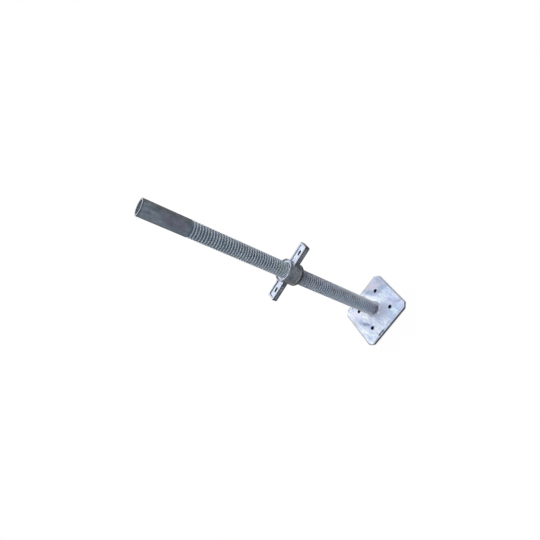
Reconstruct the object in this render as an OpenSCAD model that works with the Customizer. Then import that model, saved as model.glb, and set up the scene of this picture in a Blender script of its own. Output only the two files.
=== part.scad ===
// Adjustable scaffold base jack: a threaded tube welded upright on a square plate, with a cast wing
// nut whose cup carries the scaffold standard. Millimetres, +Z up, origin at the centre of the
// plate's underside.

/* [Spindle] */
// Height of the whole jack
jack_h = 680; // [560:10:900]
// Outside diameter of the tube and of its thread crests
tube_d = 38; // [34:0.5:40]
// Wall thickness of the tube
tube_wall = 4; // [3.2:0.2:5]
// Plain shank above the thread
shank_l = 105; // [60:5:160]
// Plain foot between the weld and the first thread
foot_l = 4; // [2:1:20]
// Rise of the thread in one turn
pitch = 6.6; // [5:0.1:9]
// Depth of the rolled thread
thread_depth = 1.6; // [1:0.1:2]
// Lean of the thread's flanks from square to the axis
flank_angle = 37; // [15:1:40]
// Rounding outside and inside the tube's top lip
lip_r = 0.8; // [0.4:0.1:1.2]

/* [Base plate] */
// Side of the square plate
plate_side = 150; // [130:5:200]
// Thickness of the plate
plate_t = 6; // [4:0.5:10]
// Leg of the 45 degree cut across each corner
corner_cut = 12; // [4:1:18]
// Distance between the fixing holes, both ways
hole_pitch = 75; // [70:1:105]
// Diameter of the fixing holes
hole_d = 9; // [6:0.5:14]
// Leg of the weld fillet around the tube's foot
weld_leg = 4.5; // [4:0.5:8]
// Swell of the weld's face beyond a flat fillet
weld_swell = 0.5; // [0.2:0.1:1]

/* [Wing nut hub] */
// Height of the nut's underside
nut_z = 283; // [40:1:500]
// Turn of the handles from the plate's sides, in degrees
nut_turn = 4; // [-45:1:45]
// Height of the nut from its underside to the cup's rim
nut_h = 44; // [36:1:56]
// Gap between the thread crests and the nut's bore
nut_gap = 0.3; // [0.2:0.05:0.5]
// Wall between the bore and the outside of the hub
hub_wall = 7.7; // [6:0.1:12]
// Height of the chamfer around the hub's bottom edge
chamfer_h = 4; // [2:0.5:6]
// Width of that chamfer
chamfer_w = 2.5; // [1:0.5:4]
// Chamfer at both ends of the bore
bore_chamfer = 1.5; // [0.5:0.1:2]

/* [Cup] */
// Outside diameter of the scaffold tube that stands in the cup
standard_d = 48.3; // [48.3:0.1:51]
// Gap between that tube and the cup's wall
standard_gap = 0.85; // [0.5:0.05:2]
// Thickness of the cup's wall
cup_wall = 3; // [2:0.5:5]
// Depth of the cup
cup_depth = 4; // [3:0.5:9]
// Height over which the hub swells out to the cup
cup_flare = 5; // [2:0.5:8]

/* [Handles] */
// Reach of each handle from the spindle's axis
handle_reach = 76; // [60:1:110]
// Width of a handle
handle_w = 30; // [22:0.5:34]
// Height of a handle
handle_h = 13.5; // [10:0.5:16]
// Drop from the cup's rim to the top of the handles
handle_drop = 10; // [7:0.5:14]
// Width of the rib around the hollows in a handle's top and underside
rib_w = 5.5; // [3:0.5:7]
// Thickness of the web between the two hollows
web_t = 4.5; // [3:0.5:6]
// Depth of the hollow in the top
tray_depth = 4; // [2:0.5:5]
// Rounding of a handle's outer corners
end_r = 5; // [3:0.5:10]
// Rounding of the outer corners of its hollows
tray_r = 2.5; // [1:0.5:4]
// Rounding of a handle's long edges
edge_r = 1.6; // [0.6:0.2:2.4]
// Distance of the slot's middle from the spindle's axis
slot_reach = 52; // [46:1:60]
// Length of the slot through the web
slot_l = 11; // [8:0.5:16]
// Width of the slot through the web
slot_w = 4.5; // [3:0.5:6]

/* [Hidden] */
$fn = 64;

cut = 1;                                        // how far a cutting shape runs past a face

tube_r = tube_d / 2;
bore_r = tube_r - tube_wall;
root_r = tube_r - thread_depth;
flank_h = thread_depth * tan(flank_angle);
crest_h = pitch / 2 - flank_h;
thread_z0 = plate_t + weld_leg + foot_l;        // lowest point that the thread may reach
thread_z1 = jack_h - shank_l;                   // where the plain shank begins
turns = floor((thread_z1 - thread_z0) / pitch);

nut_bore_r = tube_r + nut_gap;
hub_r = nut_bore_r + hub_wall;
cup_r = standard_d / 2 + standard_gap;
rim_r = cup_r + cup_wall;
rim_round = cup_wall / 3;
cup_floor = nut_h - cup_depth;
handle_top = nut_h - handle_drop;
handle_z = handle_top - handle_h;
web_z1 = handle_top - tray_depth;
web_z0 = web_z1 - web_t;

// Points of an arc around [x, y] from angle a0 to angle a1.
function arc(x, y, r, a0, a1, n = 6) =
    [for (i = [0:n]) let (a = a0 + (a1 - a0) * i / n) [x + r * cos(a), y + r * sin(a)]];

// Outline of one thread groove, below the height z where its crest begins.
function groove(z) = [
    [tube_r, z],
    [root_r, z - flank_h],
    [root_r, z - flank_h - crest_h],
    [tube_r, z - 2 * flank_h - crest_h]];

// One ridge and one groove stand for each turn of the thread.
module spindle() {
    grooves = [for (i = [0:turns - 1]) each groove(thread_z1 - i * pitch)];
    color("#8a9096")
    rotate_extrude() polygon(concat(
        [[bore_r, plate_t]],
        arc(bore_r + lip_r, jack_h - lip_r, lip_r, 180, 90),
        arc(tube_r - lip_r, jack_h - lip_r, lip_r, 90, 0),
        grooves,
        [[tube_r, plate_t]]));
}

module plate_outline() {
    half = plate_side / 2;
    inner = half - corner_cut;
    polygon([
        [half, -inner], [half, inner], [inner, half], [-inner, half],
        [-half, inner], [-half, -inner], [-inner, -half], [inner, -half]]);
}

module base_plate() {
    color("#c9d0dc")
    difference() {
        linear_extrude(plate_t) plate_outline();
        for (x = [-1, 1], y = [-1, 1])
            translate([x * hole_pitch / 2, y * hole_pitch / 2, -cut])
                cylinder(d = hole_d, h = plate_t + 2 * cut);
    }
}

// Convex fillet: an arc through both toes of the fillet that swells past the straight line.
module weld_bead() {
    half_chord = weld_leg / sqrt(2);
    r = (half_chord * half_chord + weld_swell * weld_swell) / (2 * weld_swell);
    half_angle = asin(half_chord / r);
    mid = weld_leg / 2 - (r - weld_swell) / sqrt(2);
    color("#9aa0a8")
    rotate_extrude() polygon(concat(
        [[tube_r, plate_t]],
        arc(tube_r + mid, plate_t + mid, r, 45 - half_angle, 45 + half_angle, 8)));
}

// Outline of a bar along +X with its two outer corners rounded.
module bar_outline(x0, x1, w, r) {
    translate([x0, -w / 2]) square([x1 - r - x0, w]);
    translate([x0, r - w / 2]) square([x1 - x0, w - 2 * r]);
    for (side = [-1, 1])
        translate([x1 - r, side * (w / 2 - r)]) circle(r);
}

// Section of a handle with its long edges rounded, standing on y = 0.
module bar_section() {
    translate([-handle_w / 2, edge_r]) square([handle_w, handle_h - 2 * edge_r]);
    translate([edge_r - handle_w / 2, 0]) square([handle_w - 2 * edge_r, handle_h]);
    for (x = [-1, 1], y = [edge_r, handle_h - edge_r])
        translate([x * (handle_w / 2 - edge_r), y]) circle(edge_r);
}

module slot_outline() {
    straight = slot_l - slot_w;
    translate([slot_reach - straight / 2, -slot_w / 2]) square([straight, slot_w]);
    for (side = [-1, 1])
        translate([slot_reach + side * straight / 2, 0]) circle(d = slot_w);
}

// A flat bar hollowed from above and below, with a slot through the web that is left.
module handle() {
    difference() {
        intersection() {
            translate([0, 0, handle_z]) linear_extrude(handle_h)
                bar_outline(nut_bore_r + hub_wall / 2, handle_reach, handle_w, end_r);
            translate([0, 0, handle_z]) rotate([90, 0, 90])
                linear_extrude(handle_reach + cut) bar_section();
        }
        for (span = [[web_z1, handle_top + cut], [handle_z - cut, web_z0]])
            translate([0, 0, span[0]]) linear_extrude(span[1] - span[0])
                bar_outline(nut_bore_r, handle_reach - rib_w, handle_w - 2 * rib_w, tray_r);
        translate([0, 0, handle_z]) linear_extrude(handle_h) slot_outline();
    }
}

// Hub and cup as one turned wall, with the bore and the cup open from end to end.
module hub() {
    rotate_extrude() polygon(concat(
        [[nut_bore_r, bore_chamfer], [nut_bore_r + bore_chamfer, 0],
         [hub_r - chamfer_w, 0], [hub_r, chamfer_h],
         [hub_r, cup_floor - cup_flare], [rim_r, cup_floor]],
        arc(rim_r - rim_round, nut_h - rim_round, rim_round, 0, 90),
        arc(cup_r + rim_round, nut_h - rim_round, rim_round, 90, 180),
        [[cup_r, cup_floor], [nut_bore_r + bore_chamfer, cup_floor],
         [nut_bore_r, cup_floor - bore_chamfer]]));
}

module wing_nut() {
    color("#7d8288")
    translate([0, 0, nut_z]) rotate(nut_turn) {
        hub();
        difference() {
            for (turn = [0, 180]) rotate(turn) handle();
            cylinder(r = nut_bore_r + hub_wall / 2, h = nut_h);
        }
    }
}

spindle();
base_plate();
weld_bead();
wing_nut();
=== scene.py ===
"""Scaffold base jack: galvanised finishes, rolled thread, ring weld and cast nut on the frame."""
import math

import bmesh
import bpy
from mathutils import Matrix, Vector

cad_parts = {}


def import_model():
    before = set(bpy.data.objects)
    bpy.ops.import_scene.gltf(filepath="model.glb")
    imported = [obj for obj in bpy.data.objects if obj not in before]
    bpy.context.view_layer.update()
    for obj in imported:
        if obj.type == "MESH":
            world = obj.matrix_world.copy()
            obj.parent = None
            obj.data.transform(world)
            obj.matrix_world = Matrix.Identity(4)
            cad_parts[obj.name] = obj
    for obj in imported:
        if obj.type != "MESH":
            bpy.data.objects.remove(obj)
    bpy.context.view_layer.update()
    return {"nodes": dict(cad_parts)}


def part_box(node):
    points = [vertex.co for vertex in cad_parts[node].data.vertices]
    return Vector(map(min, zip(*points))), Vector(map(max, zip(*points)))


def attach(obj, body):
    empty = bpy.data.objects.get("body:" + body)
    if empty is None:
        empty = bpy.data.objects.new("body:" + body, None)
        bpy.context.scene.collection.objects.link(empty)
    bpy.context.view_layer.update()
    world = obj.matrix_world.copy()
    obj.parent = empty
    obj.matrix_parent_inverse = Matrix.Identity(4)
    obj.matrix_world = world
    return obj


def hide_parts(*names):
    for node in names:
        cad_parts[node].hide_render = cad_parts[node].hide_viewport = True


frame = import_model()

MM = 0.001
UP = Vector((0, 0, 1))
FULL_TURN = 2 * math.pi

# ---------------------------------------------------------------- sizes, in metres
spindle_low, spindle_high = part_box("spindle")
plate_low, plate_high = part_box("base_plate")
weld_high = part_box("weld_bead")[1]
nut_low, nut_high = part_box("wing_nut")

TUBE_R = spindle_high.x
TUBE_WALL = 4 * MM
BORE_R = TUBE_R - TUBE_WALL
TUBE_FOOT = spindle_low.z
TUBE_TOP = spindle_high.z
LIP_R = 0.8 * MM                # rounding outside and inside the tube's top lip
SHANK = 105 * MM                # plain shank above the thread
FOOT = 4 * MM                   # plain foot between the weld and the thread
THREAD_TOP = TUBE_TOP - SHANK
THREAD_FOOT = weld_high.z + FOOT
PITCH = 6.6 * MM
THREAD_DEPTH = 1.6 * MM
ROOT_R = TUBE_R - THREAD_DEPTH
FLAT_SHARE = 0.19               # share of the pitch that the crest takes, and the root too
RUN_OUT = 2.5 * MM              # height over which the thread fades into the plain tube
TURN_STEPS = 64                 # faces around the tube
PROFILE_STEPS = 12              # faces across one turn of the thread
LIP_STEPS = 4                   # faces across each quarter of the lip

PLATE_TOP = plate_high.z
HALF_PLATE = plate_high.x
CORNER_CUT = 12 * MM
HOLE_PITCH = 75 * MM
HOLE_R = 4.5 * MM
HOLE_STEPS = 40                 # faces around a hole
PLATE_EDGE = 0.6 * MM           # rounding of the plate's edges and of its holes' rims
PLATE_EDGE_STEPS = 3

WELD_LEG = weld_high.z - PLATE_TOP
WELD_SWELL = 0.5 * MM           # swell of the weld's face beyond a flat fillet
WELD_STEPS = 12                 # faces across the weld's face
RIPPLES = 46                    # solidified ripples around the weld
RIPPLE_STEPS = 9                # faces along one ripple's share of the ring
RIPPLE_DEPTH = 0.35 * MM
RIPPLE_BEND = 0.35              # how far a ripple's toes trail its middle, in ripples

NUT_FOOT = nut_low.z
NUT_RIM = nut_high.z
NUT_MIDDLE = (NUT_FOOT + NUT_RIM) / 2
NUT_TURN = math.radians(4)      # turn of the handles from the plate's sides
CHAMFER_H = 4 * MM
CUP_R = 25 * MM
HANDLE_TOP = NUT_RIM - 10 * MM
HANDLE_H = 13.5 * MM
HANDLE_FOOT = HANDLE_TOP - HANDLE_H
HANDLE_REACH = 76 * MM
END_DROP_R = 4.5 * MM           # rounding of each handle's lower outer edge
SLOT_REACH = 52 * MM
SLOT_L = 11 * MM
SLOT_W = 4.5 * MM
NUT_VOXEL = 0.62 * MM           # grain at which the casting's edges are softened
NUT_SOFTEN = 5

# ---------------------------------------------------------------- zinc
METAL_SHARE = 0.06              # weathered zinc is all but matt
GLOSS = 0.25                    # specular level of weathered zinc
TUBE_SIDE = (0.94, 0.34)        # level direction across which the tube's stains, painted light and painted shade change
RIM_FRONT = (0.27, -0.96)       # level direction, from the nut, toward which its rim is painted pale as painted light; away from it the rim is painted dark as painted shade
BRUSH_TURN = math.radians(-12)  # lie of the fine streaks on the plate
# Colour of the painted shade inside the plate's holes.
HOLE_SHADE = (0.006, 0.008, 0.03)

# Marks on the plate, mostly smears, with a painted soft shadow of the tube and a painted reflection
# beside it: start and end in mm, half width in mm, strength, colour.
PLATE_STROKES = (
    ((32, 54), (60, 50), 30, 0.85, (0.46, 0.50, 0.66)),
    ((12, 78), (17, 58), 9, 0.80, (0.36, 0.43, 0.58)),
    ((18, 58), (26, 44), 10, 0.80, (0.28, 0.36, 0.52)),
    ((26, 38), (40, 30), 9, 0.75, (0.34, 0.38, 0.55)),
    ((46, 30), (66, 24), 13, 0.85, (0.31, 0.38, 0.55)),
    ((62, 66), (66, 40), 9, 0.65, (0.34, 0.39, 0.52)),
    ((25, 72), (34, 62), 8, 0.60, (0.62, 0.54, 0.58)),
    ((40, 58), (54, 44), 8, 0.45, (0.62, 0.58, 0.72)),
    # A painted reflection: the bright streak beside the tube.
    ((7, 48), (27, 2), 9, 0.90, (0.88, 0.95, 1.00)),
    ((-54, 6), (-42, -30), 14, 0.45, (0.40, 0.47, 0.70)),
    ((-55, 8), (-50, -12), 5, 0.75, (0.26, 0.33, 0.48)),
    ((-49, -4), (-45, -18), 5, 0.85, (0.16, 0.21, 0.34)),
    ((-44, -10), (-41, -25), 4, 0.80, (0.18, 0.24, 0.42)),
    ((-56, 24), (-52, 8), 7, 0.55, (0.40, 0.46, 0.66)),
    # A painted soft shadow of the tube in front of the weld, in this line and the next.
    ((0, -24), (20, -26), 20, 0.62, (0.34, 0.42, 0.58)),
    ((14, -42), (34, -26), 15, 0.45, (0.36, 0.46, 0.64)),
    ((50, -20), (56, -36), 5, 0.55, (0.40, 0.44, 0.66)),
    ((60, -42), (70, -50), 5, 0.75, (0.26, 0.30, 0.46)),
    ((58, -30), (60, -62), 9, 0.50, (0.42, 0.48, 0.72)),
    ((-47, 63), (-44, 63), 4, 0.90, (0.10, 0.10, 0.16)),
    ((-71, 34), (-71, 14), 6, 0.60, (0.46, 0.44, 0.46)),
    ((-52, -68), (62, -68.5), 3, 0.50, (0.34, 0.36, 0.50)),
)

# ---------------------------------------------------------------- studio
CAMERA_EYE = Vector((272.5, -765.8, 847.9)) * MM
CAMERA_AIM = Vector((0.0, -36.4, 379.3)) * MM
CAMERA_ROLL = math.radians(66.93)
CAMERA_LENS = 27.65
WHITE = (1, 1, 1)
FLOOR_SHADE = (0.006, 0.008, 0.02)
FLOOR_BOUNCE = (0.10, 0.10, 0.10)  # colour of the floor as it lights the jack
FLOOR_GLOW = 0.8                # share of the floor's own light near the jack; all of it far off
FLOOR_FADE = (0.35, 0.9)        # distances from the jack between which that share grows
FLOOR_HALF = 30                 # half the floor's side, in metres
FLOOR_DROP = 0.2 * MM           # gap that keeps the floor clear of the plate's underside
CONTACT_REACH = 25 * MM         # how far from the plate the floor's painted shade reaches
WORLD_SEEN = 1.0
WORLD_FILL = 0.10


# ---------------------------------------------------------------- shader maths
class Value:
    """A shader socket that takes part in Python arithmetic: each operation adds its Math node."""

    def __init__(self, finish, socket):
        self.finish = finish
        self.socket = socket

    def _math(self, operation, *terms):
        return self.finish.node("ShaderNodeMath", {"operation": operation}, dict(enumerate(terms)))

    def __add__(self, other):
        return self._math("ADD", self, other)

    def __radd__(self, other):
        return self._math("ADD", other, self)

    def __sub__(self, other):
        return self._math("SUBTRACT", self, other)

    def __rsub__(self, other):
        return self._math("SUBTRACT", other, self)

    def __mul__(self, other):
        return self._math("MULTIPLY", self, other)

    def __rmul__(self, other):
        return self._math("MULTIPLY", other, self)

    def __truediv__(self, other):
        return self._math("DIVIDE", self, other)

    def __pow__(self, other):
        return self._math("POWER", self, other)

    def __abs__(self):
        return self._math("ABSOLUTE", self)

    def at_least(self, low):
        return self._math("MAXIMUM", self, low)

    def length_with(self, other):
        return (self * self + other * other) ** 0.5

    def turn_from(self, other):
        """The angle of the point (other, self) around the axis, in radians."""
        return self._math("ARCTAN2", self, other)

    def fraction(self):
        return self._math("FRACT", self)

    def rise(self, low, high):
        """0 up to low, 1 from high on and a smooth step between; low may be above high."""
        return self.finish.node(
            "ShaderNodeMapRange", {"interpolation_type": "SMOOTHSTEP"},
            {"Value": self, "From Min": low, "From Max": high})

    def band(self, low, high, soft):
        """1 between low and high, falling to 0 over soft on both sides."""
        return self.rise(low - soft, low) * self.rise(high + soft, high)


class Finish:
    """The nodes of a material or of the world, with one method that makes any node."""

    def __init__(self, owner):
        owner.use_nodes = True
        self.owner = owner
        self.tree = owner.node_tree
        self.tree.nodes.clear()

    def feed(self, socket, value):
        if isinstance(value, Value):
            self.tree.links.new(value.socket, socket)
        elif socket.type == "RGBA":
            socket.default_value = (*value, 1)
        else:
            socket.default_value = value

    def node(self, kind, settings=None, inputs=None, output=0):
        made = self.tree.nodes.new(kind)
        for name, value in (settings or {}).items():
            setattr(made, name, value)
        for name, value in (inputs or {}).items():
            self.feed(made.inputs[name], value)
        return Value(self, made.outputs[output]) if made.outputs else None

    def place(self):
        return self.node("ShaderNodeTexCoord", output="Object")

    def split(self, vector, axes="XYZ"):
        return [self.node("ShaderNodeSeparateXYZ", inputs={0: vector}, output=axis)
                for axis in axes]

    def facing_up(self):
        """1 on a level face, 0 on an upright one, below 0 on an underside."""
        return self.split(self.node("ShaderNodeNewGeometry", output="Normal"), "Z")[0]

    def stretched(self, vector, scale):
        return self.node("ShaderNodeMapping", inputs={"Vector": vector, "Scale": scale})

    def turned(self, vector, angle):
        return self.node("ShaderNodeMapping", inputs={"Vector": vector, "Rotation": (0, 0, angle)})

    def noise(self, vector, scale, detail, roughness):
        return self.node(
            "ShaderNodeTexNoise", {"noise_dimensions": "3D"},
            {"Vector": vector, "Scale": scale, "Detail": detail, "Roughness": roughness})

    def mix(self, amount, first, second):
        return self.node("ShaderNodeMix", {"data_type": "RGBA"},
                         {0: amount, 6: first, 7: second}, output=2)

    def coats(self, colour, *layers):
        """Lays each (mask, colour) over the colour below it, in turn."""
        for mask, paint in layers:
            colour = self.mix(mask, colour, paint)
        return colour

    def surface(self, colour, roughness, relief, depth):
        """Weathered zinc of a colour, with a fine relief of a depth in metres."""
        normal = self.node("ShaderNodeBump",
                           inputs={"Height": relief, "Distance": depth, "Strength": 1.0})
        shader = self.node("ShaderNodeBsdfPrincipled", inputs={
            "Base Color": colour, "Roughness": roughness, "Metallic": METAL_SHARE,
            "Normal": normal, "Specular IOR Level": GLOSS})
        self.node("ShaderNodeOutputMaterial", inputs={"Surface": shader})
        return self.owner


def new_finish(name):
    return Finish(bpy.data.materials.new(name))


def toward(x, y, direction):
    """Distance of a point from the axis in a level direction."""
    return x * direction[0] + y * direction[1]


# ---------------------------------------------------------------- finishes
# A mask is a Value from 0 to 1 over the surface. A coat is a mask and the colour that it lays on.
def zinc_tube():
    """Dull zinc: cloudy blue and violet on the shank, a slate thread with painted light on its
    upward flanks, and painted light and shade down the tube's sides.
    """
    finish = new_finish("zinc_tube")
    place = finish.place()
    x, y, z = finish.split(place)
    drawn = finish.stretched(place, (1, 1, 0.5))
    clouds = finish.noise(drawn, 85, 3, 0.6)
    hues = finish.noise(drawn, 40, 2, 0.5)
    mottle = finish.noise(place, 190, 3, 0.6)
    streaks = finish.noise(finish.stretched(place, (1, 1, 0.2)), 150, 3, 0.6)
    rolled = clouds.rise(0.34, 0.66)
    tone = rolled * 0.35 + mottle.rise(0.36, 0.64) * 0.25 + streaks.rise(0.36, 0.64) * 0.40

    side = toward(x, y, TUBE_SIDE)
    from_top = z - TUBE_TOP
    violet = hues.rise(0.47, 0.60)
    sooty = side.rise(2 * MM, 16 * MM) * clouds.rise(0.72, 0.38)
    # Dark stripes down both sides of the tube: painted shade where it turns away.
    edges = abs(side).rise(16.0 * MM, 18.5 * MM)
    under_lip = from_top.rise(-4 * MM, -2.5 * MM)
    on_lip = from_top.rise(-0.4 * MM, 0.4 * MM)
    shank = finish.coats(
        finish.mix(tone, (0.19, 0.25, 0.34), (0.55, 0.65, 0.77)),
        (violet * 0.6, (0.37, 0.33, 0.48)),
        (sooty * 0.65, (0.19, 0.18, 0.15)),
        (edges * 0.9, (0.03, 0.04, 0.05)),
        (under_lip * 0.7, (0.10, 0.11, 0.14)),
        (on_lip, (0.72, 0.75, 0.80)))

    low_down = z.rise(NUT_MIDDLE + 20 * MM, NUT_MIDDLE - 60 * MM)
    # The thread's colour follows its facing: upward flanks painted pale as painted light, crest and
    # root darker as painted shade.
    shaded_trough = finish.mix(low_down,
                        finish.mix(rolled, (0.19, 0.29, 0.43), (0.32, 0.44, 0.63)),
                        finish.mix(rolled, (0.23, 0.33, 0.49), (0.37, 0.48, 0.69)))
    lit_flank = finish.mix(low_down,
                       finish.mix(rolled, (0.70, 0.80, 0.90), (0.90, 0.98, 1.00)),
                       finish.mix(rolled, (0.64, 0.75, 0.96), (0.84, 0.92, 1.00)))
    from_foot = z - THREAD_FOOT
    sides = abs(side).rise(9 * MM, 17 * MM)
    middle = 1 - sides * 0.8
    # Brighter, bluer -X side of the thread, fading out towards the shank: painted light.
    lit_cold_side = side.rise(-2 * MM, -15 * MM) * z.rise(THREAD_TOP, NUT_MIDDLE + 50 * MM)
    # Paler +X side of the thread, more so lower down: painted light.
    pale = side.rise(5 * MM, 14 * MM) * (low_down * 0.40 + 0.35)
    # Darker +X edge of the thread above the foot: painted shade.
    thread_edge_shade = side.rise(15.5 * MM, 18.5 * MM) * from_foot.rise(60 * MM, 120 * MM)
    # Paler sides low down near the plate: painted light bounced from the plate.
    plate_bounce_light = sides * from_foot.rise(140 * MM, 40 * MM)
    brown = side.band(2 * MM, 11 * MM, 4 * MM) * hues.rise(0.46, 0.58) * mottle.rise(0.30, 0.60)
    # Paler band on the thread around the nut's cup: painted light bounced from the cup.
    cup_bounce_light = (z - NUT_RIM).band(-8 * MM, 18 * MM, 14 * MM)
    # Paler -X side just under the nut: painted light lifting the nut's shadow.
    light_under_nut = (z - NUT_FOOT).band(-22 * MM, 2 * MM, 14 * MM) * side.rise(8 * MM, -12 * MM)
    # Darker in the middle towards the foot, darker still just above the weld, with dark mottling
    # there.
    darker_low_middle = from_foot.rise(60 * MM, 15 * MM) * middle
    stained = from_foot.rise(45 * MM, 5 * MM) * side.band(-6 * MM, 6 * MM, 6 * MM)
    darker_middle_by_weld = from_foot.rise(12 * MM, -2 * MM) * middle
    dark_mottle_by_weld = from_foot.rise(14 * MM, 0) * mottle.rise(0.43, 0.60) * middle
    thread = finish.coats(
        finish.mix(finish.facing_up().rise(0.04, 0.56), shaded_trough, lit_flank),
        (lit_cold_side * 0.80, (0.73, 0.84, 1.00)),
        (pale, (0.80, 0.85, 1.00)),
        (thread_edge_shade * 0.35, (0.36, 0.36, 0.36)),
        (plate_bounce_light * 0.9, (0.88, 0.91, 1.00)),
        (brown * 0.55, (0.34, 0.29, 0.30)),
        (cup_bounce_light * 0.7, (0.60, 0.71, 0.76)),
        (light_under_nut * 0.5, (0.80, 0.84, 1.00)),
        (darker_low_middle * 0.25, (0.20, 0.22, 0.30)),
        (stained * 0.35, (0.34, 0.27, 0.36)),
        (darker_middle_by_weld * 0.5, (0.30, 0.32, 0.42)),
        (dark_mottle_by_weld * 0.75, (0.09, 0.10, 0.16)))

    on_shank = z.rise(THREAD_TOP - 1 * MM, THREAD_TOP + 1 * MM)
    in_bore = x.length_with(y).rise(ROOT_R - 0.3 * MM, BORE_R + 0.3 * MM)
    colour = finish.coats(thread, (on_shank, shank), (in_bore * 0.5, (0.30, 0.33, 0.36)))
    return finish.surface(colour, 0.50 + tone * 0.12, clouds * 0.6 + mottle * 0.4, 0.2 * MM)


def stroke(x, y, start, end, width):
    """1 along a line and 0 at a width from it; the line's ends and the width are in millimetres."""
    span = Vector(end) - Vector(start)
    along = span.normalized()
    from_x = x - start[0] * MM
    from_y = y - start[1] * MM
    run = toward(from_x, from_y, along)
    aside = toward(from_x, from_y, (along.y, -along.x))
    half = span.length * MM / 2
    past = (abs(run - half) - half).at_least(0)
    return 1 - past.length_with(aside) / (width * MM)


def zinc_plate():
    """Bright pale zinc: a greyer stained corner, smears, a painted reflection and a painted shadow
    beside the tube, painted shade on its sides, and holes painted dark as painted shade.
    """
    finish = new_finish("zinc_plate")
    place = finish.place()
    x, y = finish.split(place, "XY")
    clouds = finish.noise(place, 34, 4, 0.62)
    eddies = finish.noise(place, 62, 4, 0.66)
    fine = finish.noise(place, 170, 3, 0.65)
    brushed = finish.noise(
        finish.stretched(finish.turned(place, BRUSH_TURN), (1, 0.16, 1)), 260, 3, 0.6)
    ragged = clouds * 0.2 + eddies * 0.3 + fine * 0.3 + brushed * 0.2 - 0.5
    tone = (eddies.rise(0.36, 0.64) * 0.25 + brushed.rise(0.40, 0.60) * 0.45
            + fine.rise(0.38, 0.62) * 0.30)
    # Darker, bluer towards the +X -Y corner.
    darker_corner = (x - y * 0.8).rise(-10 * MM, 75 * MM)
    lilac = finish.noise(place, 17, 2, 0.5).rise(0.50, 0.66)
    colour = finish.coats(
        finish.mix(tone, (0.42, 0.52, 0.78), (0.94, 1.00, 1.00)),
        (darker_corner, finish.mix(tone, (0.32, 0.43, 0.70), (0.76, 0.88, 1.00))),
        (lilac * 0.40, (0.78, 0.73, 0.92)))

    # The smears, the painted shadow and the painted reflection lie on wavy coordinates, so none of
    # them is straight.
    wavy_x = x + (clouds - 0.5) * (18 * MM) + (eddies - 0.5) * (14 * MM)
    wavy_y = y - (clouds - 0.5) * (18 * MM) - (eddies - 0.5) * (10 * MM)
    speckle = fine.rise(0.38, 0.58) * 0.45 + 0.6
    for start, end, width, strength, paint in PLATE_STROKES:
        smear_shadow_and_sheen = (stroke(wavy_x, wavy_y, start, end, width) + ragged * 2.4).rise(-0.15, 0.85)
        colour = finish.mix(smear_shadow_and_sheen * speckle * strength, colour, paint)

    scuff = stroke(x, y, (-36, -69.5), (-17, -70), 4.2) + (fine - 0.5) * 2.6
    from_edge = abs(x).at_least(abs(y)) - HALF_PLATE
    # Patchy darker band along the plate's edges and over its side faces: wear, and painted shade on
    # the sides.
    worn_and_shaded_edge = from_edge.rise(-4.5 * MM, -2.0 * MM) * clouds.rise(0.22, 0.44)
    from_hole = (abs(x) - HOLE_PITCH / 2).length_with(abs(y) - HOLE_PITCH / 2) - HOLE_R
    # The -Y side face painted dark: painted shade.
    shaded_front_side = (y + HALF_PLATE).rise(0.8 * MM, 0.2 * MM)
    colour = finish.coats(
        colour,
        (scuff.rise(0.20, 0.70) * 0.95, (0.06, 0.035, 0.10)),
        (worn_and_shaded_edge * 0.55, (0.30, 0.30, 0.34)),
        # The holes' walls and rims painted near-black: painted shade.
        (from_hole.rise(1.5 * MM, 0.6 * MM), HOLE_SHADE),
        (shaded_front_side * 0.85, (0.10, 0.12, 0.19)))
    return finish.surface(colour, 0.42 + clouds * 0.2, eddies * 0.5 + fine * 0.3, 0.2 * MM)


def zinc_weld():
    """The weld under bright zinc, darker in the troughs between its ripples."""
    finish = new_finish("zinc_weld")
    place = finish.place()
    x, y = finish.split(place, "XY")
    mottle = finish.noise(place, 130, 3, 0.6)
    out = x.length_with(y) - TUBE_R
    across = out / (WELD_LEG / 2) - 1
    ripple = (y.turn_from(x) * (RIPPLES / FULL_TURN) + across * across * RIPPLE_BEND).fraction()
    troughs = ripple.rise(0.55, 0.95) * mottle.rise(0.36, 0.56)
    against_tube = out.rise(1.3 * MM, 0.4 * MM)
    grey = toward(x, y, TUBE_SIDE).rise(2 * MM, -16 * MM)
    colour = finish.coats(
        finish.mix(mottle.rise(0.36, 0.62), (0.46, 0.46, 0.60), (0.95, 0.95, 1.00)),
        (troughs * 0.7, (0.20, 0.22, 0.34)),
        (against_tube * 0.7, (0.16, 0.18, 0.27)),
        (grey * 0.4, (0.50, 0.55, 0.68)))
    return finish.surface(colour, 0.46, finish.noise(place, 500, 2, 0.55), 0.15 * MM)


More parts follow.
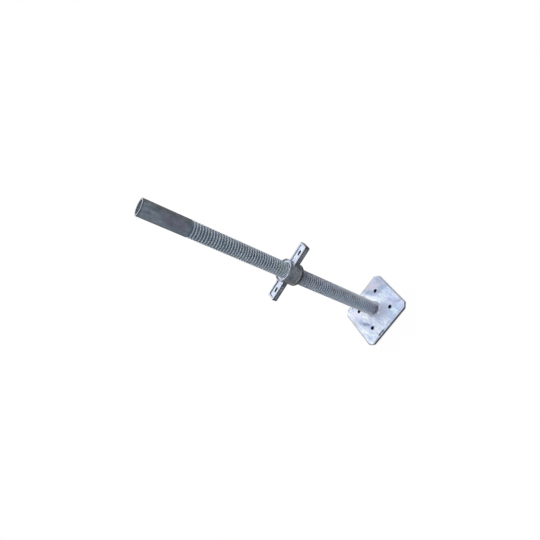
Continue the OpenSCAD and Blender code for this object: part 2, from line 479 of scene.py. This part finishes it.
def zinc_casting():
    """Galvanised casting: mottled slate and brown on its sides, upper faces painted pale as painted
    light, painted shade low on the hub, at the handle ends, in the cup and slots, and a painted
    highlight above the chamfer.
    """
    finish = new_finish("zinc_casting")
    place = finish.turned(finish.place(), -NUT_TURN)
    along, across, z = finish.split(place)
    radius = along.length_with(across)
    reach = abs(along)
    aside = abs(across)
    from_foot = z - NUT_FOOT
    from_rim = z - NUT_RIM
    from_handle = z - HANDLE_TOP
    on_hub = radius.rise(31 * MM, 29 * MM)
    on_handle = 1 - on_hub
    blotches = finish.noise(place, 95, 3, 0.62)
    hues = finish.noise(place, 52, 2, 0.5)
    grain = finish.noise(place, 380, 3, 0.6)
    tone = blotches.rise(0.34, 0.66) * 0.75 + grain * 0.25

    violet = hues.rise(0.48, 0.60)
    # Darker -X side of the hub: painted shade.
    shaded_hub_side = along.rise(4 * MM, -22 * MM) * on_hub
    # Hub darker towards its foot: painted shade.
    hub_shade_low = from_foot.rise(25 * MM, 8 * MM) * on_hub
    under_edge = from_handle.band(-3.0 * MM, -0.6 * MM, 1 * MM) * on_handle
    handle_foot = (z - HANDLE_FOOT).rise(4 * MM, 1 * MM) * on_handle
    # Handle ends painted near-black: painted shade.
    shaded_handle_end = reach.rise(66 * MM, 74 * MM)
    # Pale arc above the chamfer: a painted highlight.
    painted_edge_highlight = ((from_foot - CHAMFER_H).band(5.4 * MM, 7.0 * MM, 0.8 * MM)
              * on_hub * blotches.rise(0.34, 0.50))
    # Hub's lower edge and chamfer painted near-black: painted shade under the hub.
    shade_under_hub = (from_foot - CHAMFER_H).rise(4.8 * MM, 2 * MM) * (0.80 + blotches * 0.25)
    # Dark corners where the handles meet the hub: painted shade.
    shaded_handle_root = (reach.band(24 * MM, 33 * MM, 3 * MM)
                   * aside.band(12 * MM, 18 * MM, 2 * MM))
    tray_wall = (from_handle.rise(-4.5 * MM, -3.5 * MM) * aside.rise(13 * MM, 12 * MM)
                 * on_handle * along.rise(-10 * MM, 10 * MM))
    # Cup's inner wall painted dark: painted shade.
    shaded_cup_wall = radius.rise(CUP_R + 0.8 * MM, CUP_R) * from_rim.rise(-3.5 * MM, -2.8 * MM)
    walls = finish.coats(
        finish.mix(tone, (0.20, 0.26, 0.35), (0.64, 0.69, 0.78)),
        (violet * 0.5, (0.48, 0.42, 0.50)),
        (shaded_hub_side * 0.45, (0.22, 0.25, 0.27)),
        (hub_shade_low * 0.42, (0.16, 0.18, 0.21)),
        (under_edge * 0.8, (0.10, 0.14, 0.21)),
        (handle_foot * 0.6, (0.16, 0.17, 0.20)),
        (shaded_handle_end * 0.75, (0.07, 0.07, 0.07)),
        (painted_edge_highlight * 0.8, (0.86, 0.90, 0.94)),
        (shade_under_hub, (0.025, 0.03, 0.04)),
        (shaded_handle_root * 0.6, (0.06, 0.08, 0.11)),
        (tray_wall * 0.5, (0.72, 0.78, 0.90)),
        (shaded_cup_wall * 0.8, (0.10, 0.11, 0.14)))

    on_rib = from_handle.rise(-1 * MM, -0.3 * MM)
    # Top of the +X handle's end painted near-black: painted shade.
    shaded_far_end = along.rise(72.5 * MM, 74.5 * MM)
    on_rim = from_rim.rise(-2 * MM, -0.8 * MM)
    # The rim's top: painted light on the near side, painted shade on the far side.
    rim_light_and_shade = finish.mix(toward(along, across, RIM_FRONT).rise(-6 * MM, 16 * MM),
                           (0.22, 0.25, 0.33), (0.74, 0.75, 0.88))
    # Upper faces painted paler than the sides: painted light.
    lit_tops = finish.coats(
        finish.mix(tone, (0.62, 0.70, 0.86), (0.82, 0.91, 1.00)),
        (on_rib * 0.6, (0.74, 0.72, 0.84)),
        (shaded_far_end * 0.8, (0.10, 0.10, 0.11)),
        (on_rim * 0.8, rim_light_and_shade))

    past_slot = (abs(reach - SLOT_REACH) - (SLOT_L - SLOT_W) / 2).at_least(0)
    from_slot = past_slot.length_with(across) - SLOT_W / 2
    colour = finish.coats(
        walls,
        (finish.facing_up().rise(0.35, 0.80), lit_tops),
        # The slots painted near-black: painted shade.
        (from_slot.rise(1.7 * MM, 0.9 * MM), (0.008, 0.012, 0.022)))
    return finish.surface(colour, 0.52, blotches * 0.3 + grain * 0.5, 0.3 * MM)


# ---------------------------------------------------------------- making pieces
def to_mesh(bm):
    """A bmesh becomes a mesh whose faces point outwards, and is freed."""
    bmesh.ops.recalc_face_normals(bm, faces=bm.faces)
    mesh = bpy.data.meshes.new("shape")
    bm.to_mesh(mesh)
    bm.free()
    return mesh


def to_piece(mesh, name, material=None, sharp_angle=38):
    """A mesh becomes a smooth piece at the origin, with its crisp edges kept sharp."""
    mesh.name = name
    mesh.shade_smooth()
    mesh.set_sharp_from_angle(angle=math.radians(sharp_angle))
    mesh.materials.clear()
    mesh.materials.append(material)
    piece = bpy.data.objects.new(name, mesh)
    bpy.context.scene.collection.objects.link(piece)
    return piece


def take_mesh(piece):
    """The mesh of a working piece with its modifiers applied; the piece itself goes."""
    graph = bpy.context.evaluated_depsgraph_get()
    mesh = bpy.data.meshes.new_from_object(piece.evaluated_get(graph))
    bpy.data.objects.remove(piece)
    return mesh


def only(kind, geometry):
    return [part for part in geometry if isinstance(part, kind)]


def everything(bm):
    return bm.verts[:] + bm.edges[:] + bm.faces[:]


def boundary_at(bm, height):
    return [edge for edge in bm.edges
            if edge.is_boundary and all(abs(v.co.z - height) < 0.001 * MM for v in edge.verts)]


def to_radius(vert, radius, height):
    flat = Vector((vert.co.x, vert.co.y, 0)).normalized() * radius
    vert.co = (flat.x, flat.y, height)


def grow(bm, ring, stations):
    """Extrudes a ring of edges through stations of (radius, height) and returns the last ring."""
    for radius, height in stations:
        made = bmesh.ops.extrude_edge_only(bm, edges=ring)["geom"]
        for vert in only(bmesh.types.BMVert, made):
            to_radius(vert, radius, height)
        ring = [edge for edge in only(bmesh.types.BMEdge, made) if edge.is_boundary]
    return ring


def smooth_step(value):
    value = min(max(value, 0.0), 1.0)
    return value * value * (3 - 2 * value)


def thread_depth_at(share):
    """Depth of the thread at a share of its pitch: crest at 0 and 1, root in the middle."""
    from_root = abs(2 * share - 1)
    return THREAD_DEPTH * (1 - smooth_step((from_root - FLAT_SHARE) / (1 - 2 * FLAT_SHARE)))


def rolled_thread():
    """A right-hand thread: one turn spun from its section, stacked, cut level and faded out."""
    bm = bmesh.new()
    start = THREAD_FOOT - PITCH
    shares = [i / PROFILE_STEPS for i in range(PROFILE_STEPS + 1)]
    verts = [bm.verts.new((TUBE_R - thread_depth_at(s), 0, start + s * PITCH)) for s in shares]
    edges = [bm.edges.new(pair) for pair in zip(verts, verts[1:])]
    bmesh.ops.spin(bm, geom=verts + edges, cent=(0, 0, 0), axis=UP, angle=FULL_TURN,
                   dvec=UP * PITCH / TURN_STEPS, steps=TURN_STEPS)
    first_turn = everything(bm)
    for turn in range(1, math.ceil((THREAD_TOP - start) / PITCH) + 1):
        made = bmesh.ops.duplicate(bm, geom=first_turn)["geom"]
        bmesh.ops.translate(bm, vec=UP * PITCH * turn, verts=only(bmesh.types.BMVert, made))
    bmesh.ops.remove_doubles(bm, verts=bm.verts, dist=0.02 * MM)
    for height, side in ((THREAD_TOP, 1), (THREAD_FOOT, -1)):
        bmesh.ops.bisect_plane(bm, geom=everything(bm), dist=0.0001 * MM,
                               plane_co=UP * height, plane_no=UP * side, clear_outer=True)
    for vert in bm.verts:
        height = vert.co.z
        keep = (smooth_step((THREAD_TOP - height) / RUN_OUT)
                * smooth_step((height - THREAD_FOOT) / RUN_OUT))
        depth = TUBE_R - math.hypot(vert.co.x, vert.co.y)
        to_radius(vert, TUBE_R - depth * keep, height)
    return bm


def quarter(centre_r, centre_z, radius, start, end):
    """Stations along an arc in the tube's section, from start to end degrees."""
    turns = [math.radians(start + (end - start) * (i + 1) / LIP_STEPS) for i in range(LIP_STEPS)]
    return [(centre_r + radius * math.cos(a), centre_z + radius * math.sin(a)) for a in turns]


def spindle():
    """The thread, grown down into the foot and up into the shank, over the lip and down the bore."""
    bm = rolled_thread()
    lip = TUBE_TOP - LIP_R
    foot = grow(bm, boundary_at(bm, THREAD_FOOT), [(TUBE_R, TUBE_FOOT), (BORE_R, TUBE_FOOT)])
    top = grow(bm, boundary_at(bm, THREAD_TOP),
               [(TUBE_R, lip)] + quarter(TUBE_R - LIP_R, lip, LIP_R, 0, 90)
               + [(BORE_R + LIP_R, TUBE_TOP)] + quarter(BORE_R + LIP_R, lip, LIP_R, 90, 180)
               + [(BORE_R, THREAD_FOOT)])
    bmesh.ops.bridge_loops(bm, edges=top + foot)
    return to_piece(to_mesh(bm), "rolled_spindle", zinc_tube())


def cut_away(bm, cutter):
    """The first bmesh minus the second, as a new bmesh."""
    blank = to_piece(to_mesh(bm), "blank")
    tool = to_piece(to_mesh(cutter), "tool")
    cut = blank.modifiers.new("cut", "BOOLEAN")
    cut.operation = "DIFFERENCE"
    cut.solver = "EXACT"
    cut.object = tool
    result = bmesh.new()
    result.from_mesh(take_mesh(blank))
    bpy.data.objects.remove(tool)
    bmesh.ops.dissolve_limit(result, angle_limit=math.radians(0.5),
                             verts=result.verts, edges=result.edges)
    return result


def base_plate():
    """A square plate with cut corners, drilled, with every edge slightly rounded."""
    bm = bmesh.new()
    bmesh.ops.create_cube(bm, size=1)
    size = plate_high - plate_low
    bmesh.ops.scale(bm, vec=size, verts=bm.verts)
    bmesh.ops.translate(bm, vec=(plate_low + plate_high) / 2, verts=bm.verts)
    uprights = [e for e in bm.edges if abs(e.verts[0].co.z - e.verts[1].co.z) > size.z / 2]
    bmesh.ops.bevel(bm, geom=uprights, offset=CORNER_CUT, offset_type="OFFSET", segments=1,
                    profile=0.5, affect="EDGES", material=-1)
    drill = bmesh.new()
    for x in (-HOLE_PITCH / 2, HOLE_PITCH / 2):
        for y in (-HOLE_PITCH / 2, HOLE_PITCH / 2):
            bmesh.ops.create_cone(drill, cap_ends=True, segments=HOLE_STEPS, radius1=HOLE_R,
                                  radius2=HOLE_R, depth=PLATE_TOP * 3,
                                  matrix=Matrix.Translation((x, y, PLATE_TOP / 2)))
    bm = cut_away(bm, drill)
    rims = [e for e in bm.edges if e.is_manifold and e.calc_face_angle() > math.radians(30)]
    bmesh.ops.bevel(bm, geom=rims, offset=PLATE_EDGE, offset_type="OFFSET",
                    segments=PLATE_EDGE_STEPS, profile=0.5, affect="EDGES", material=-1)
    return to_piece(to_mesh(bm), "drilled_plate", zinc_plate())


def weld_ring():
    """A ring with the fillet's section: an arc through both toes, and the corner behind it."""
    bm = bmesh.new()
    half_chord = WELD_LEG / math.sqrt(2)
    radius = (half_chord ** 2 + WELD_SWELL ** 2) / (2 * WELD_SWELL)
    lean = math.asin(half_chord / radius)
    middle = WELD_LEG / 2 - (radius - WELD_SWELL) / math.sqrt(2)
    angles = [math.pi / 4 - lean + 2 * lean * i / WELD_STEPS for i in range(WELD_STEPS + 1)]
    loop = [bm.verts.new((TUBE_R + middle + radius * math.cos(a), 0,
                          PLATE_TOP + middle + radius * math.sin(a))) for a in angles]
    loop.append(bm.verts.new((TUBE_R, 0, PLATE_TOP)))
    edges = [bm.edges.new((a, b)) for a, b in zip(loop, loop[1:] + loop[:1])]
    bmesh.ops.spin(bm, geom=loop + edges, cent=(0, 0, 0), axis=UP, angle=FULL_TURN,
                   steps=RIPPLES * RIPPLE_STEPS, use_merge=True)
    bmesh.ops.remove_doubles(bm, verts=bm.verts, dist=0.001 * MM)
    return bm


def weld_bead():
    """A ring fillet whose face is rippled, each ripple curved like the pool that froze into it."""
    bm = weld_ring()
    for vert in bm.verts:
        out = math.hypot(vert.co.x, vert.co.y) - TUBE_R
        rise = vert.co.z - PLATE_TOP
        if out + rise < WELD_LEG * 0.8:             # the corner behind the face
            continue
        across = (out - rise) / WELD_LEG            # -1 at the upper toe, 1 at the lower toe
        share = max(0.0, 1 - across * across)
        turn = math.atan2(vert.co.y, vert.co.x)
        phase = RIPPLES * turn / FULL_TURN + RIPPLE_BEND * across * across
        # The ripples make most of the dip, and a slow waver around the ring makes the rest.
        wander = 0.5 + 0.5 * math.sin(3 * turn + 1) * math.sin(7 * turn)
        dip = RIPPLE_DEPTH * share * (0.75 * (phase % 1.0) ** 2 + 0.35 * wander)
        inward = Vector((-vert.co.x, -vert.co.y, 0)).normalized() - UP
        vert.co += inward.normalized() * dip
    return to_piece(to_mesh(bm), "rippled_weld", zinc_weld(), sharp_angle=60)


def wing_nut():
    """The nut's solid with its edges and inner corners softened as a mould leaves them."""
    bm = bmesh.new()
    bm.from_mesh(frame["nodes"]["wing_nut"].data)
    bmesh.ops.remove_doubles(bm, verts=bm.verts, dist=0.001 * MM)
    blank = to_piece(to_mesh(bm), "nut_blank")
    remesh = blank.modifiers.new("grain", "REMESH")
    remesh.mode = "VOXEL"
    remesh.voxel_size = NUT_VOXEL
    soften = blank.modifiers.new("soften", "SMOOTH")
    soften.factor = 0.5
    soften.iterations = NUT_SOFTEN
    mesh = take_mesh(blank)
    along = Vector((math.cos(NUT_TURN), math.sin(NUT_TURN), 0))
    for vert in mesh.vertices:
        reach = vert.co.dot(along)
        out = abs(reach) - (HANDLE_REACH - END_DROP_R)
        down = (HANDLE_FOOT + END_DROP_R) - vert.co.z
        if out > 0 and down > 0 and math.hypot(out, down) > END_DROP_R:
            shrink = END_DROP_R / math.hypot(out, down)
            vert.co -= along * math.copysign(out * (1 - shrink), reach)
            vert.co += UP * down * (1 - shrink)
    return to_piece(mesh, "cast_wing_nut", zinc_casting(), sharp_angle=80)


# ---------------------------------------------------------------- floor, light and camera
def seen_directly(finish):
    """1 for the rays that show a background: straight, mirrored and through glass."""
    camera, glossy, through = (
        finish.node("ShaderNodeLightPath", output=ray)
        for ray in ("Is Camera Ray", "Is Glossy Ray", "Is Transmission Ray"))
    return finish.node("ShaderNodeMath", {"operation": "ADD", "use_clamp": True},
                       {0: camera, 1: glossy + through})


def floor():
    """A white floor: painted shade darkens it under and beside the jack, and it takes the jack's
    soft shadow.
    """
    finish = new_finish("studio_floor")
    seen = seen_directly(finish)
    x, y = finish.split(finish.place(), "XY")
    open_sky = finish.node("ShaderNodeAmbientOcclusion", {"samples": 8},
                           {"Distance": CONTACT_REACH}, output="AO").rise(0.38, 0.60)
    paint = finish.mix(seen, FLOOR_BOUNCE, finish.mix(open_sky, FLOOR_SHADE, WHITE))
    lit = x.length_with(y).rise(*FLOOR_FADE) * (1 - FLOOR_GLOW) + FLOOR_GLOW
    matt = finish.node("ShaderNodeBsdfDiffuse", inputs={"Color": paint})
    glow = finish.node("ShaderNodeEmission", inputs={"Color": WHITE, "Strength": 1.0})
    shade = finish.node("ShaderNodeMixShader",
                        inputs={0: seen * lit * open_sky, 1: matt, 2: glow})
    finish.node("ShaderNodeOutputMaterial", inputs={"Surface": shade})
    bm = bmesh.new()
    bmesh.ops.create_grid(bm, x_segments=1, y_segments=1, size=FLOOR_HALF)
    bmesh.ops.translate(bm, vec=(0, 0, -FLOOR_DROP), verts=bm.verts)
    to_piece(to_mesh(bm), "studio_floor", finish.owner)


def world():
    """A faint even light on the jack, and white behind it."""
    sky = bpy.data.worlds.new("studio")
    bpy.context.scene.world = sky
    finish = Finish(sky)
    strength = seen_directly(finish) * (WORLD_SEEN - WORLD_FILL) + WORLD_FILL
    light = finish.node("ShaderNodeBackground", inputs={"Color": WHITE, "Strength": strength})
    finish.node("ShaderNodeOutputWorld", inputs={"Surface": light})


def lamp(name, direction, spread, strength):
    """A far lamp that shines along a direction; spread is its size as an angle in degrees."""
    light = bpy.data.lights.new(name, "SUN")
    light.angle = math.radians(spread)
    light.energy = strength * math.pi
    holder = bpy.data.objects.new(name, light)
    holder.rotation_euler = Vector(direction).to_track_quat("-Z", "Y").to_euler()
    bpy.context.scene.collection.objects.link(holder)


def camera():
    """A wide view from above and in front, rolled so that the spindle lies across the picture."""
    view = (CAMERA_AIM - CAMERA_EYE).normalized()
    level = view.cross(UP).normalized()
    right = Matrix.Rotation(CAMERA_ROLL, 3, view) @ level
    turn = Matrix((right, right.cross(view), -view)).transposed()
    shot = bpy.data.cameras.new("camera")
    shot.sensor_width = 36
    shot.lens = CAMERA_LENS
    shot.clip_end = 100
    holder = bpy.data.objects.new("camera", shot)
    holder.matrix_world = Matrix.Translation(CAMERA_EYE) @ turn.to_4x4()
    bpy.context.scene.collection.objects.link(holder)
    bpy.context.scene.camera = holder


bpy.context.scene.view_settings.view_transform = "Standard"
floor()
world()
lamp("key", direction=(0, -0.10, -1), spread=60, strength=0.94)
lamp("fill", direction=(-0.33, 0.90, -0.25), spread=50, strength=0.07)
camera()

for piece, body, node, slot in (
        (spindle(), "jack", "spindle", "tube_zinc"),
        (base_plate(), "jack", "base_plate", "plate_zinc"),
        (weld_bead(), "jack", "weld_bead", "weld_zinc"),
        (wing_nut(), "nut", "wing_nut", "cast_zinc")):
    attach(piece, body)
    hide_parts(node)
